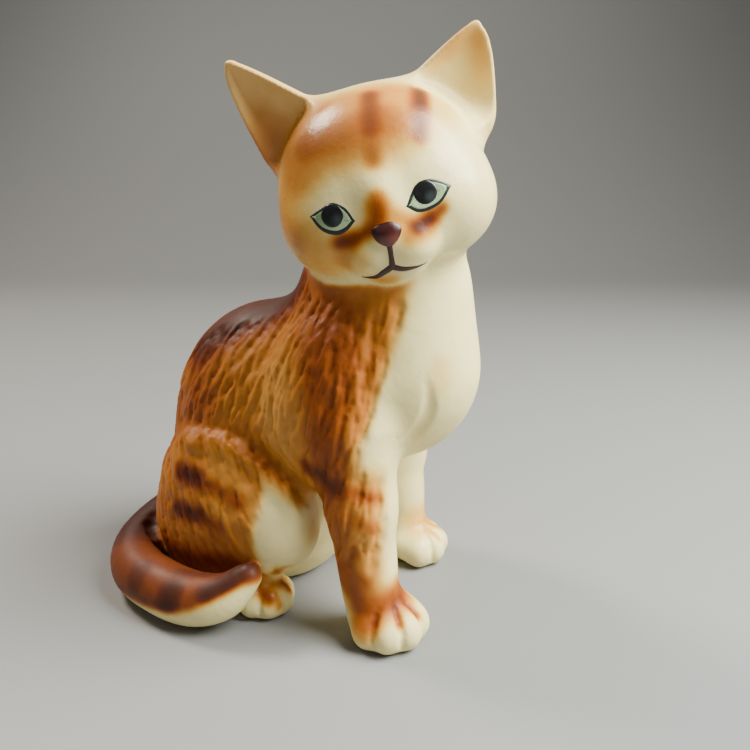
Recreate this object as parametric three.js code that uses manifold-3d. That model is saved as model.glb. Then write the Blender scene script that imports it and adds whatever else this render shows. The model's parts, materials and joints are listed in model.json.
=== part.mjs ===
// Ceramic kitten figurine: a seated kitten with its head turned to its right.
// Slip-cast pieces are luted together with clay slip before the firing: a hollow torso, a hollow head,
// two ears, two forelegs, two hind paws and a tail.
// Millimetres, +Z up. The chest faces -Y, the right side is -X, and the base rests on z = 0.
import * as THREE from "three";
import { mergeVertices } from "three/addons/utils/BufferGeometryUtils.js";
import Module from "manifold-3d";

const wasm = await Module();
wasm.setup();

// Shells and joints
const WALL = 3; // thickness of the cast walls
const SLIP_GAP = 0.3; // layer of slip between two pieces
const BASE_VENT_RADIUS = 3; // lets the torso breathe in the kiln
const NECK_VENT_RADIUS = 5; // joins the hollow of the head to that of the torso
const BASE_VENT_PLACE = [0, 10];

// The sculpt's own middle line lies at x = 0. This shift puts the origin under the middle of the box.
const ORIGIN_SHIFT = new THREE.Vector3(6.5, 5.5, 0);

// Torso: bodies that flow into each other, each with its centre and its half lengths
const CHEST = { at: [0.5, -26, 65], half: [20.5, 26.3, 24.5] };
const NECK = { at: [0, -29, 87], half: [16, 19.5, 17] };
const BARREL = { at: [0, 6, 44], half: [24, 32, 34], pitch: 27 };
const RUMP = { at: [0, 11, 22.5], half: [25, 27.5, 27] };
const RIGHT_SHOULDER = { at: [-17, -22, 57], half: [8.5, 14, 21], pitch: 8 };
const LEFT_SHOULDER = { at: [18.5, -19, 56], half: [9, 14, 21], pitch: 8 };
const THIGH = { at: [20.5, 9, 23.5], half: [10.5, 23, 24.3], yaw: 6 };
const KNEE = { at: [20.5, -9, 24], half: [9, 12, 13] };
const TRUNK_CORE = { y: [8, -26], z: [0, 75] }; // a line inside the trunk that leans forward
const TORSO_TOP = 103.5;
const NECK_MOUTH = 94;

// Head, in its own axes: x to its left, y to the back and z up
const HEAD_CENTRE = new THREE.Vector3(-6, -32, 108.5);
const HEAD_TURN = 58; // degrees from the chest's direction towards the right shoulder
const HEAD_TILT = 13.6; // degrees that the left ear leans up
const SKULL = { at: [-0.5, 1, 1.5], half: [21.8, 20.5, 19.2] };
const CHEEK = { at: [9.3, -5, -7], half: [13.8, 14, 11.8] };
const MUZZLE_PAD = { at: [4.6, -16.2, -12.2], half: [6, 5.2, 4.6] };
const NOSE_BRIDGE = { at: [0, -17, -7.5], half: [4.5, 6, 5] };
const CHIN = { at: [0, -14, -17], half: [6.5, 5.5, 3.6] };

// Ears: hollowed cones between a base and a tip in the head's axes
const RIGHT_EAR = { base: [-14.6, 3.5, 12], tip: [-28, 2, 32.6] };
const LEFT_EAR = { base: [16.3, 3.5, 9], tip: [28, 0, 26.6] };
const EAR_HALF_WIDTH = 11.1;
const EAR_HALF_DEPTH = 7.5;
const EAR_TIP_RADIUS = 0.9;
const EAR_ROOT = 6; // length of the cone below its base, inside the head
const EAR_RIM = 1.6;
const EAR_CUP_OFFSET = 2.4;
const EAR_CUP_FLOOR = 1.5;

// Limbs: the forelegs stand one step apart, the right one ahead
const FORELEG_MIDDLE = 2.7; // the two forelegs stand this far to the left of the middle line
const FORELEG_SPREAD = 18.3;
const RIGHT_STEP = -1;
const LEFT_STEP = 10;
const FORELEG_TOP = 61.5;
const HIND_PAW = { at: [23, -3.5, 5], half: [6.2, 9.5, 6] };

// Tail: a tapering rope laid round the right haunch
const TAIL_PATH = [
  [6, 24, 17], [-4, 36, 13], [-15, 39.5, 10], [-27, 36.5, 8], [-35, 28, 7],
  [-37.5, 16, 6.8], [-37, 4, 7], [-34.5, -6, 9.5], [-30.5, -12.5, 14.5],
];
const TAIL_RADII = [7.6, 7.4, 7.2, 7, 6.8, 6.8, 6.6, 5.6, 3.6];
const TAIL_STEPS = 38;

// Facets round the torso's outside and round its hollow
const FINE = 44;
const COARSE = 24;

// ---------------------------------------------------------------- fields
// A field gives a point's distance to a surface in millimetres: negative inside, positive outside.

const vector = (xyz) => new THREE.Vector3(...xyz);
const mirrored = (body, side) => ({
  ...body,
  at: [side * body.at[0], body.at[1], body.at[2]],
  yaw: side * (body.yaw ?? 0),
});

function ellipsoid({ at, half, pitch = 0, yaw = 0 }) {
  const centre = vector(at);
  const [a, b, c] = half;
  const turn = new THREE.Euler(THREE.MathUtils.degToRad(pitch), 0, THREE.MathUtils.degToRad(yaw));
  const unturn = new THREE.Quaternion().setFromEuler(turn).invert();
  return (point) => {
    const q = point.clone().sub(centre).applyQuaternion(unturn);
    const near = Math.hypot(q.x / a, q.y / b, q.z / c);
    const slope = Math.hypot(q.x / a ** 2, q.y / b ** 2, q.z / c ** 2);
    return (near * (near - 1)) / Math.max(slope, 1e-9);
  };
}

function taper(from, to, fromRadius, toRadius) {
  const start = vector(from);
  const along = vector(to).sub(start);
  return (point) => {
    const q = point.clone().sub(start);
    const t = THREE.MathUtils.clamp(q.dot(along) / along.lengthSq(), 0, 1);
    return q.addScaledVector(along, -t).length() - THREE.MathUtils.lerp(fromRadius, toRadius, t);
  };
}

function smoothMin(a, b, blend) {
  const h = Math.max(blend - Math.abs(a - b), 0) / blend;
  return Math.min(a, b) - (h * h * blend) / 4;
}

const flow = (blend, ...fields) => (point) =>
  fields.map((field) => field(point)).reduce((a, b) => smoothMin(a, b, blend));
const standing = (field, edge) => (point) => -smoothMin(-field(point), point.z, edge);
const grown = (field, amount) => (point) => field(point) - amount;

function trunkField() {
  const spine = flow(12, ellipsoid(CHEST), ellipsoid(NECK), ellipsoid(BARREL));
  const trunk = flow(10, spine, ellipsoid(RUMP));
  return standing(flow(7, trunk, ellipsoid(RIGHT_SHOULDER), ellipsoid(LEFT_SHOULDER)), 1);
}

function haunchField(side) {
  return standing(flow(5, ellipsoid(mirrored(THIGH, side)), ellipsoid(mirrored(KNEE, side))), 1);
}

const headMatrix = new THREE.Matrix4().compose(
  HEAD_CENTRE,
  new THREE.Quaternion()
    .setFromAxisAngle(headForward(), THREE.MathUtils.degToRad(HEAD_TILT))
    .multiply(new THREE.Quaternion().setFromAxisAngle(new THREE.Vector3(0, 0, 1), headYaw())),
  new THREE.Vector3(1, 1, 1),
);

function headYaw() {
  return -THREE.MathUtils.degToRad(HEAD_TURN);
}

function headForward() {
  return new THREE.Vector3(Math.sin(headYaw()), -Math.cos(headYaw()), 0);
}

function headField() {
  let head = ellipsoid(SKULL);
  for (const side of [-1, 1]) {
    head = flow(7, head, ellipsoid(mirrored(CHEEK, side)));
    head = flow(5, head, ellipsoid(mirrored(MUZZLE_PAD, side)));
  }
  head = flow(5, head, ellipsoid(NOSE_BRIDGE));
  return flow(4, head, ellipsoid(CHIN));
}

// Toes stand in a shallow arc along the front of a paw.
function pawField(paw, toeHalf, blend) {
  const [x, y, z] = paw.at;
  let field = ellipsoid(paw);
  for (const place of [-1.5, -0.5, 0.5, 1.5]) {
    const across = place * paw.half[0] * 0.45;
    const ahead = paw.half[1] * (0.78 - 0.12 * place * place);
    field = flow(blend, field, ellipsoid({ at: [x + across, y - ahead, z - 1], half: toeHalf }));
  }
  return field;
}

function forelegField(side, step) {
  const x = FORELEG_MIDDLE + side * FORELEG_SPREAD;
  const elbow = [x, -33 + step, 34];
  const ankle = [x, -34 + step, 12.5];
  const shoulder = [x - side, -29 + step * 0.6, 52];
  const leg = flow(4, taper(shoulder, elbow, 10.5, 8), taper(elbow, ankle, 7.9, 6.4));
  const paw = { at: [x, -37 + step, 5.6], half: [7.8, 9, 6.8] };
  return standing(flow(4, leg, pawField(paw, [2.6, 3.8, 4.2], 1.2)), 0.8);
}

function hindPawField(side) {
  return standing(pawField(mirrored(HIND_PAW, side), [2.2, 3.6, 3.8], 1.2), 0.8);
}

// ---------------------------------------------------------------- geometry

function closed(geometry) {
  geometry.deleteAttribute("normal");
  geometry.deleteAttribute("uv");
  return mergeVertices(geometry);
}

function moveVertices(geometry, move) {
  const position = geometry.attributes.position;
  for (let i = 0; i < position.count; i += 1) {
    const moved = move(new THREE.Vector3().fromBufferAttribute(position, i));
    position.setXYZ(i, moved.x, moved.y, moved.z);
  }
  return geometry;
}

// Walks inwards from far outside until the field turns negative.
function surfacePoint(field, core, direction) {
  const reach = 70;
  const stride = 0.7;
  const at = (distance) => core.clone().addScaledVector(direction, distance);
  let outside = reach;
  while (outside > stride && field(at(outside - stride)) > 0) {
    outside -= stride;
  }
  let inside = outside - stride;
  for (let halving = 0; halving < 18; halving += 1) {
    const middle = (inside + outside) / 2;
    if (field(at(middle)) > 0) {
      outside = middle;
    } else {
      inside = middle;
    }
  }
  return at(inside);
}

// A closed column of rings, each ring drawn on the field round a core line.
function wrapColumn(field, bottom, top, coreAt, sectors, levels) {
  const column = closed(new THREE.CylinderGeometry(1, 1, 1, sectors, levels));
  const packing = 0.6; // crowds the rings towards both ends
  return moveVertices(column, (unit) => {
    const t = unit.y + 0.5;
    const eased = t - (packing * Math.sin(2 * Math.PI * t)) / (2 * Math.PI);
    const core = coreAt(THREE.MathUtils.lerp(bottom, top, eased));
    const direction = new THREE.Vector3(unit.x, -unit.z, 0);
    return direction.length() < 0.5 ? core : surfacePoint(field, core, direction.normalize());
  });
}

// A ball drawn onto the field from its centre.
function wrapBall(field, centre, sectors, levels) {
  const ball = closed(new THREE.SphereGeometry(1, sectors, levels));
  return moveVertices(ball, (unit) => {
    const direction = new THREE.Vector3(unit.x, -unit.z, unit.y).normalize();
    return surfacePoint(field, centre, direction);
  });
}

function trunkGeometry(offset, sectors, levels, bottom, top) {
  const coreAt = (z) => {
    const t = (z - TRUNK_CORE.z[0]) / (TRUNK_CORE.z[1] - TRUNK_CORE.z[0]);
    return new THREE.Vector3(0, THREE.MathUtils.lerp(...TRUNK_CORE.y, Math.min(t, 1)), z);
  };
  return wrapColumn(grown(trunkField(), offset), bottom, top, coreAt, sectors, levels);
}

function haunchGeometry(side, offset, sectors, levels) {
  const centre = vector(mirrored(THIGH, side).at);
  return wrapBall(grown(haunchField(side), offset), centre, sectors, levels);
}

function headGeometry(offset, sectors, levels) {
  const centre = new THREE.Vector3(0, 0, 0);
  return wrapBall(grown(headField(), offset), centre, sectors, levels).applyMatrix4(headMatrix);
}

// An ear's cone: its sides narrow to the tip, and the cup is a smaller cone set forward in it.
function earGeometry({ base, tip }, cup) {
  const root = vector(base);
  const along = vector(tip).sub(root);
  const length = along.length();
  along.normalize();
  const outward = new THREE.Vector3(Math.sign(base[0]), 0, -0.9);
  const across = outward.addScaledVector(along, -outward.dot(along)).normalize();
  const through = new THREE.Vector3().crossVectors(across, along);
  const forward = -Math.sign(through.y) * (cup ? EAR_CUP_OFFSET : 0);
  const start = cup ? EAR_CUP_FLOOR : -EAR_ROOT;
  const end = cup ? length * 0.93 : length;
  const inset = cup ? EAR_RIM : 0;
  const cone = closed(new THREE.CylinderGeometry(1, 1, 1, 20, 9));
  const placed = moveVertices(cone, (unit) => {
    const height = THREE.MathUtils.lerp(start, end, unit.y + 0.5);
    const left = THREE.MathUtils.clamp(1 - height / length, 0, 1.3);
    const width = Math.max((EAR_HALF_WIDTH - EAR_TIP_RADIUS) * left ** 0.85 + EAR_TIP_RADIUS - inset, 0.3);
    const depth = (EAR_HALF_DEPTH - EAR_TIP_RADIUS) * left + EAR_TIP_RADIUS;
    return root
      .clone()
      .addScaledVector(along, height)
      .addScaledVector(across, width * unit.x)
      .addScaledVector(through, depth * unit.z + forward);
  });
  return placed.applyMatrix4(headMatrix);
}

function forelegGeometry(side, step) {
  const coreAt = (z) => new THREE.Vector3(FORELEG_MIDDLE + side * FORELEG_SPREAD, -35 + step, z);
  return wrapColumn(forelegField(side, step), 0, FORELEG_TOP, coreAt, 28, 20);
}

function hindPawGeometry(side, offset) {
  const centre = vector(mirrored(HIND_PAW, side).at);
  return wrapBall(grown(hindPawField(side), offset), centre, 24, 14);
}

// The tail's rings follow its path, and each is scaled to the radius there.
function tailGeometry() {
  const path = new THREE.CatmullRomCurve3(TAIL_PATH.map(vector));
  const circle = new THREE.Shape().absarc(0, 0, 1, 0, 2 * Math.PI);
  const rope = closed(
    new THREE.ExtrudeGeometry(circle, { steps: TAIL_STEPS, extrudePath: path, curveSegments: 8 }),
  );
  const centres = path.getSpacedPoints(TAIL_STEPS);
  const radiusAt = (step) => {
    const place = (step / TAIL_STEPS) * (TAIL_RADII.length - 1);
    const low = Math.min(Math.floor(place), TAIL_RADII.length - 2);
    return THREE.MathUtils.lerp(TAIL_RADII[low], TAIL_RADII[low + 1], place - low);
  };
  return moveVertices(rope, (vertex) => {
    const misses = centres.map((centre) => Math.abs(vertex.distanceTo(centre) - 1));
    const step = misses.indexOf(Math.min(...misses));
    return vertex.sub(centres[step]).multiplyScalar(radiusAt(step)).add(centres[step]);
  });
}

// ---------------------------------------------------------------- solids

function solid(geometry) {
  const mesh = new wasm.Mesh({
    numProp: 3,
    vertProperties: new Float32Array(geometry.attributes.position.array),
    triVerts: new Uint32Array(geometry.index.array),
  });
  return new wasm.Manifold(mesh);
}

function geometryOf(manifold) {
  const mesh = manifold.getMesh();
  const geometry = new THREE.BufferGeometry();
  geometry.setAttribute("position", new THREE.BufferAttribute(mesh.vertProperties, 3));
  geometry.setIndex(new THREE.BufferAttribute(mesh.triVerts, 1));
  geometry.computeVertexNormals();
  return geometry;
}

function drill(radius, x, y, bottom, top) {
  const rod = new THREE.CylinderGeometry(radius, radius, top - bottom, 20);
  rod.rotateX(Math.PI / 2);
  rod.translate(x, y, (bottom + top) / 2);
  return solid(closed(rod));
}

// The trunk and its two haunches, grown or shrunk by an offset
function torso(offset, bottom, top, sectors) {
  const trunk = solid(trunkGeometry(offset, sectors, Math.round(sectors * 0.75), bottom, top));
  const haunches = [-1, 1].map((side) => {
    return solid(haunchGeometry(side, offset, Math.round(sectors * 0.7), Math.round(sectors * 0.4)));
  });
  return trunk.add(haunches[0]).add(haunches[1]);
}

function torsoShell() {
  return torso(0, 0, TORSO_TOP, FINE)
    .subtract(torso(-WALL, WALL, NECK_MOUTH, COARSE))
    .subtract(solid(headGeometry(SLIP_GAP, 40, 26)))
    .subtract(drill(BASE_VENT_RADIUS, ...BASE_VENT_PLACE, -1, WALL + 1));
}

function headShell() {
  const { x, y, z } = HEAD_CENTRE;
  return solid(headGeometry(0, 40, 26))
    .subtract(solid(headGeometry(-WALL, 24, 16)))
    .subtract(drill(NECK_VENT_RADIUS, x, y, z - 30, z));
}

function ear(shape) {
  return solid(earGeometry(shape, false))
    .subtract(solid(earGeometry(shape, true)))
    .subtract(solid(headGeometry(SLIP_GAP, 40, 26)));
}

function withoutTorso(piece) {
  return piece.subtract(torso(SLIP_GAP, -SLIP_GAP, TORSO_TOP, FINE));
}

function tail() {
  const tip = new THREE.SphereGeometry(TAIL_RADII.at(-1), 16, 10);
  tip.translate(...TAIL_PATH.at(-1));
  const ground = new THREE.BoxGeometry(200, 200, 20).translate(0, 0, -10);
  const rope = solid(tailGeometry()).add(solid(closed(tip)));
  return withoutTorso(rope)
    .subtract(solid(hindPawGeometry(-1, SLIP_GAP)))
    .subtract(solid(closed(ground)));
}

// ---------------------------------------------------------------- assembly

const BISQUE_ROUGHNESS = 0.5;
const CREAM = "#dedfc4";
const GINGER = "#b4762f";
const BROWN = "#7d4a1c";
const PEACH = "#e6c994";

function piece(name, manifold, colour) {
  const material = new THREE.MeshStandardMaterial({
    color: colour,
    roughness: BISQUE_ROUGHNESS,
    metalness: 0,
  });
  const mesh = new THREE.Mesh(geometryOf(manifold), material);
  mesh.name = name;
  return mesh;
}

const kitten = new THREE.Group();
kitten.add(
  piece("torso_shell", torsoShell(), GINGER),
  piece("head_shell", headShell(), CREAM),
  piece("right_ear", ear(RIGHT_EAR), PEACH),
  piece("left_ear", ear(LEFT_EAR), PEACH),
  piece("right_foreleg", withoutTorso(solid(forelegGeometry(-1, RIGHT_STEP))), BROWN),
  piece("left_foreleg", withoutTorso(solid(forelegGeometry(1, LEFT_STEP))), CREAM),
  piece("right_hind_paw", withoutTorso(solid(hindPawGeometry(-1, 0))), CREAM),
  piece("left_hind_paw", withoutTorso(solid(hindPawGeometry(1, 0))), CREAM),
  piece("tail", tail(), BROWN),
);
kitten.position.copy(ORIGIN_SHIFT);

export default kitten;
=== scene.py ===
"""Ceramic kitten figurine: the modelled and hand-painted surface of its nine castings."""
import json
import math
from functools import partial

import bpy
import numpy as np
from mathutils import Matrix, Vector


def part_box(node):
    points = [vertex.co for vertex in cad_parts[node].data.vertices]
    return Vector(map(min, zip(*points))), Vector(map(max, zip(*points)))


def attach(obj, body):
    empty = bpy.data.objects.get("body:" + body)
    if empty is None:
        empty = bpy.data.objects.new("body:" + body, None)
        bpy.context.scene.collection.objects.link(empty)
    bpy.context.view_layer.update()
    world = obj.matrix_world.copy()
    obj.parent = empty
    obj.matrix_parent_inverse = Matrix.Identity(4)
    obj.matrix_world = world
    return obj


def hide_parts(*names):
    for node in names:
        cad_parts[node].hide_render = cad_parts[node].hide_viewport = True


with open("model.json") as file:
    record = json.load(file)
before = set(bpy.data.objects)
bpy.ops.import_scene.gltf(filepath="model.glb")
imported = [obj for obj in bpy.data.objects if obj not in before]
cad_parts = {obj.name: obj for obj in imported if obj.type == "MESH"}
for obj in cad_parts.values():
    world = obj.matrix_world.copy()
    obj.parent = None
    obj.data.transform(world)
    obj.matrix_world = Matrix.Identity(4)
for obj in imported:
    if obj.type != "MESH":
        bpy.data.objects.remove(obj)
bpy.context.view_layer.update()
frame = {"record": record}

# -------- place and scale
# The clay is modelled in millimetres about its own middle line, with the chest towards -Y.
MM = 0.001
CELL = 0.5  # side of the cells that the surface is taken from
torso_low, torso_high = (np.array(corner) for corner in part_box("torso_shell"))
TORSO_MIDDLE_Y = -6.3  # middle of the torso's box in the clay's own measure
CLAY_ORIGIN = np.array([
    (torso_low[0] + torso_high[0]) / 2,
    (torso_low[1] + torso_high[1]) / 2 - TORSO_MIDDLE_Y * MM,
    torso_low[2],
])


def row(points):
    """Clay millimetres to the frame's metres."""
    return np.asarray(points, float) * MM + CLAY_ORIGIN


def unit(vectors):
    return vectors / np.maximum(np.linalg.norm(vectors, axis=-1, keepdims=True), 1e-9)


def turn(axis, degrees):
    return np.array(Matrix.Rotation(math.radians(degrees), 3, Vector(axis)))


# -------- shapes
def smooth_min(a, b, blend):
    h = np.maximum(blend - np.abs(a - b), 0) / blend
    return np.minimum(a, b) - h * h * blend / 4


def smooth_max(a, b, blend):
    return -smooth_min(-a, -b, blend)


class Blob:
    """An ellipsoid. Columns of axes are its own directions."""

    def __init__(self, at, half, axes=np.eye(3)):
        self.at, self.half, self.axes = np.array(at, float), np.array(half, float), axes

    def box(self):
        reach = np.sqrt(((self.axes * self.half) ** 2).sum(1))
        return self.at - reach, self.at + reach

    def distance(self, *p):
        q = [sum(self.axes[i, j] * (p[i] - self.at[i]) for i in range(3)) for j in range(3)]
        near = sum((q[j] / self.half[j]) ** 2 for j in range(3))
        slope = sum((q[j] / self.half[j] ** 2) ** 2 for j in range(3))
        near = np.sqrt(near)
        return near * (near - 1) / np.sqrt(np.maximum(slope, 1e-9))


class Taper:
    """A capsule whose radius runs from one end to the other."""

    def __init__(self, start, end, start_radius, end_radius):
        self.start, self.end = np.array(start, float), np.array(end, float)
        self.radii = (start_radius, end_radius)

    def box(self):
        reach = max(self.radii)
        return np.minimum(self.start, self.end) - reach, np.maximum(self.start, self.end) + reach

    def distance(self, *p):
        along = self.end - self.start
        q = [p[i] - self.start[i] for i in range(3)]
        t = np.clip(sum(q[i] * along[i] for i in range(3)) / (along @ along), 0, 1)
        length = np.sqrt(sum((q[i] - t * along[i]) ** 2 for i in range(3)))
        return length - (self.radii[0] + (self.radii[1] - self.radii[0]) * t)


class Ear:
    """A leaf, round behind and gently hollow in front, whose hollow runs out at its root.
    Its outer edge, on the side given, is the fuller one."""

    RIM = 0.6  # radius of its edge

    def __init__(self, base, tip, half_width, waist, front, side):
        self.base, self.tip = np.array(base, float), np.array(tip, float)
        self.waist = waist  # how much narrower it is at the root
        self.length = np.linalg.norm(self.tip - self.base)
        self.along = (self.tip - self.base) / self.length
        self.front = unit(front - self.along * (front @ self.along))
        self.across = np.cross(self.along, self.front) * side
        self.half_width = half_width

    def box(self):
        reach = self.half_width + 3
        return np.minimum(self.base, self.tip) - reach, np.maximum(self.base, self.tip) + reach

    def distance(self, *p):
        q = [p[i] - self.base[i] for i in range(3)]
        height, across, front = (
            sum(q[i] * axis[i] for i in range(3)) for axis in (self.along, self.across, self.front)
        )
        length = self.length - self.RIM
        left = np.clip(1 - height / length, 0, 1.4)
        width = (self.half_width - self.RIM) * left ** np.where(across > 0, 0.76, 0.95) + 0.4
        width = np.maximum(width - self.waist * np.clip(1 - height / 6, 0, 2) ** 2, 0.4)
        depth = 4.6 * left + 0.8
        leaf = (np.sqrt((across / width) ** 2 + (front / depth) ** 2) - 1) * np.minimum(width, depth) * 0.9
        leaf = smooth_max(leaf, height - length, 1.5)
        leaf = smooth_max(leaf, -(height + 6), 0.8)
        hollow = np.minimum(2.2 * left, 1) * 2.2
        face = 0.2 - hollow * (1 - (across / width) ** 2) + 7 * np.clip(1 - height / 8, 0, 1) ** 2
        return smooth_max(leaf, 0.85 * (front - face), 0.6) - self.RIM


def smooth_path(points, steps, closed=False):
    """A Catmull-Rom curve through points, each step with every coordinate given."""
    points = np.array(points, float)
    if closed:
        p = np.vstack([points[-1:], points, points[:2]])
    else:
        ends = 2 * points[[0, -1]] - points[[1, -2]]
        p = np.vstack([ends[:1], points, ends[1:]])
    t = np.linspace(0, 1, steps, endpoint=False)[:, None]
    spans = [
        0.5 * (2 * b + (c - a) * t + (2 * a - 5 * b + 4 * c - d) * t ** 2 + (3 * b - a - 3 * c + d) * t ** 3)
        for a, b, c, d in zip(p[:-3], p[1:-2], p[2:-1], p[3:])
    ]
    return np.vstack(spans if closed else [*spans, points[-1:]])


def ease(low, high, value):
    """0 below low, 1 above high, and a soft step between."""
    t = np.clip((value - low) / (high - low), 0, 1)
    return t * t * (3 - 2 * t)


# -------- the castings
X_AXIS, _, Z_AXIS = np.eye(3)
SIDES = {"right": -1, "left": 1}

HEAD_CENTRE = np.array([-6.0, -32.0, 108.5])
HEAD_TURN = 58.0  # degrees from the chest's direction to the right shoulder
HEAD_TILT = 13.6  # degrees that the left ear leans up
FACE_TURN = 5.5  # degrees that the face turns further than the skull

forward = np.array([-math.sin(math.radians(HEAD_TURN)), -math.cos(math.radians(HEAD_TURN)), 0])
head_axes = turn(forward, HEAD_TILT) @ np.column_stack([np.cross(Z_AXIS, forward), -forward, Z_AXIS])
face_axes = head_axes @ turn(Z_AXIS, -FACE_TURN)


def on_head(point):
    return HEAD_CENTRE + head_axes @ np.array(point, float)


def on_face(point):
    return HEAD_CENTRE + face_axes @ np.array(point, float)


def head_blob(at, half):
    return Blob(on_head(at), half, head_axes)


def face_blob(at, half, pitch=0):
    return Blob(on_face(at), half, face_axes @ turn(X_AXIS, pitch))


# Each body comes with its flow: how softly it runs into the ones before it.
def trunk():
    yield Blob((0.5, -26, 65), (20.5, 26.3, 24.5)), 12  # chest
    yield Blob((0, -29, 87), (16, 19.5, 17)), 12  # neck
    yield Blob((0, 6, 44), (24, 32, 34), turn(X_AXIS, 27)), 12  # back
    yield Blob((0, 11, 22.5), (25, 27.5, 27)), 10  # seat
    yield Blob((-17, -22, 57), (8.5, 14, 21), turn(X_AXIS, 8)), 7  # shoulders
    yield Blob((18.5, -19, 56), (9, 14, 21), turn(X_AXIS, 8)), 7
    yield Blob((18.5, -11, 38), (9.5, 9.5, 14)), 6  # between left foreleg and haunch
    for side in SIDES.values():  # haunches and knees
        yield Blob((side * 20.5, 10, 23.5), (10.5, 23.5, 24.3), turn(Z_AXIS, side * 6)), 2.5
        yield Blob((side * 18.5, 17, 15.5), (11.5, 18.5, 17.5), turn(Z_AXIS, side * 6)), 4
        yield Blob((side * 20.5, -9, 25), (9, 12, 12)), 5


def head():
    yield head_blob((-1.1, 1, 1.5), (22.1, 20.5, 19.2)), 7  # skull
    for side in SIDES.values():
        yield head_blob((side * 9.3 - 0.4, -5, -7), (13.8, 14, 11.8)), 7  # cheek
    yield face_blob((0, -14.5, -12), (8.5, 6.2, 6)), 6  # muzzle
    for side in SIDES.values():
        yield face_blob((side * 3.7, -17.5, -13.4), (4.8, 4.2, 4)), 3  # whisker pad
    yield face_blob((0, -16.5, -5.5), (3.4, 4.6, 7), 12), 5  # bridge of the nose
    yield face_blob((0, -15.8, -17.4), (5.2, 4.2, 3)), 3  # chin
    yield face_blob((0, -20.2, -9.9), (3.3, 2.3, 2.7)), 1.5  # tip of the nose


def ear(side):
    base, tip, width, waist, outward = {
        -1: ((-15, 3.5, 10.6), (-27.6, 2, 32.2), 10.2, 2.2, -0.45),
        1: ((15.3, 3.5, 9.6), (26.4, 0, 27), 11.8, 1.7, 0.2),
    }[side]
    yield Ear(on_head(base), on_head(tip), width, waist, head_axes @ (outward, -1, 0), side), 1


LEG_X = {-1: -15.6, 1: 22.6}
LEG_STEP = {-1: -1, 1: 12.8}  # how much further back than level each forefoot stands
FOREPAW = {-1: (8.9, 9.6, 6.4), 1: (8.5, 9.2, 5.6)}  # half sizes
HIND_PAW = (6.8, 9.5, 6)
HIND_X, HIND_Y = 22.7, -4
FORE_TURN = {-1: 37, 1: -14}  # degrees that a forepaw's toes turn towards the cat's right
HIND_TURN = {-1: 14, 1: -14}


def round_paw(at, half, degrees):
    """The way from a paw's middle to its edge, in a direction from straight ahead."""
    angle = math.radians(degrees)
    return np.array(at) + (-math.sin(angle) * half[0], -math.cos(angle) * half[1], 0)


def forepaw_place(side):
    return LEG_X[side] - side * 0.6, LEG_STEP[side] - 37.4


def paw(at, half, toe, yaw):
    """The pad of a paw and the four toes that fan out round its front."""
    at, half = np.array(at, float), np.array(half, float)
    yield Blob(at, half), 4
    for place in (-62, -21, 21, 62):
        middle = round_paw(at, 0.66 * half, yaw + place) - (0, 0, 0.9)
        yield Blob(middle, (0.8 * toe, toe, toe), turn(Z_AXIS, -yaw - place)), 2.4


def foreleg(side):
    x, step, slim = LEG_X[side], LEG_STEP[side], {-1: 0.2, 1: 1.1}[side]
    elbow, ankle = (x + side * 1.2, -31.3 + step, 34), (x + side * 0.5, -33.6 + step, 12.5)
    yield Taper((x - side, -29 + step * 0.6, 52), elbow, 10.5, 8.2 - 0.4 * slim), 1
    yield Taper(elbow, ankle, 8.1 - 0.5 * slim, 7.2 - slim), 4
    yield from paw((*forepaw_place(side), 5.2), FOREPAW[side], 4.4, FORE_TURN[side])


def hind_paw(side):
    yield from paw((side * HIND_X, HIND_Y, 5), HIND_PAW, 3.7, HIND_TURN[side])


TAIL = [  # x, y, z and radius
    (6, 24, 17, 7.6), (-4, 36, 13, 7.4), (-15, 39.5, 10, 7.2), (-27, 36.5, 8, 7), (-35, 28, 7, 6.8),
    (-37.5, 16, 6.8, 6.8), (-37.2, 5, 7, 6.6), (-35.2, -4, 9.8, 5.4), (-32.3, -9.8, 15.8, 3.3),
]


def tail():
    path = smooth_path(TAIL, 5)
    for start, end in zip(path[:-1], path[1:]):
        yield Taper(start[:3], end[:3], start[3], end[3]), 0.6


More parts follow.
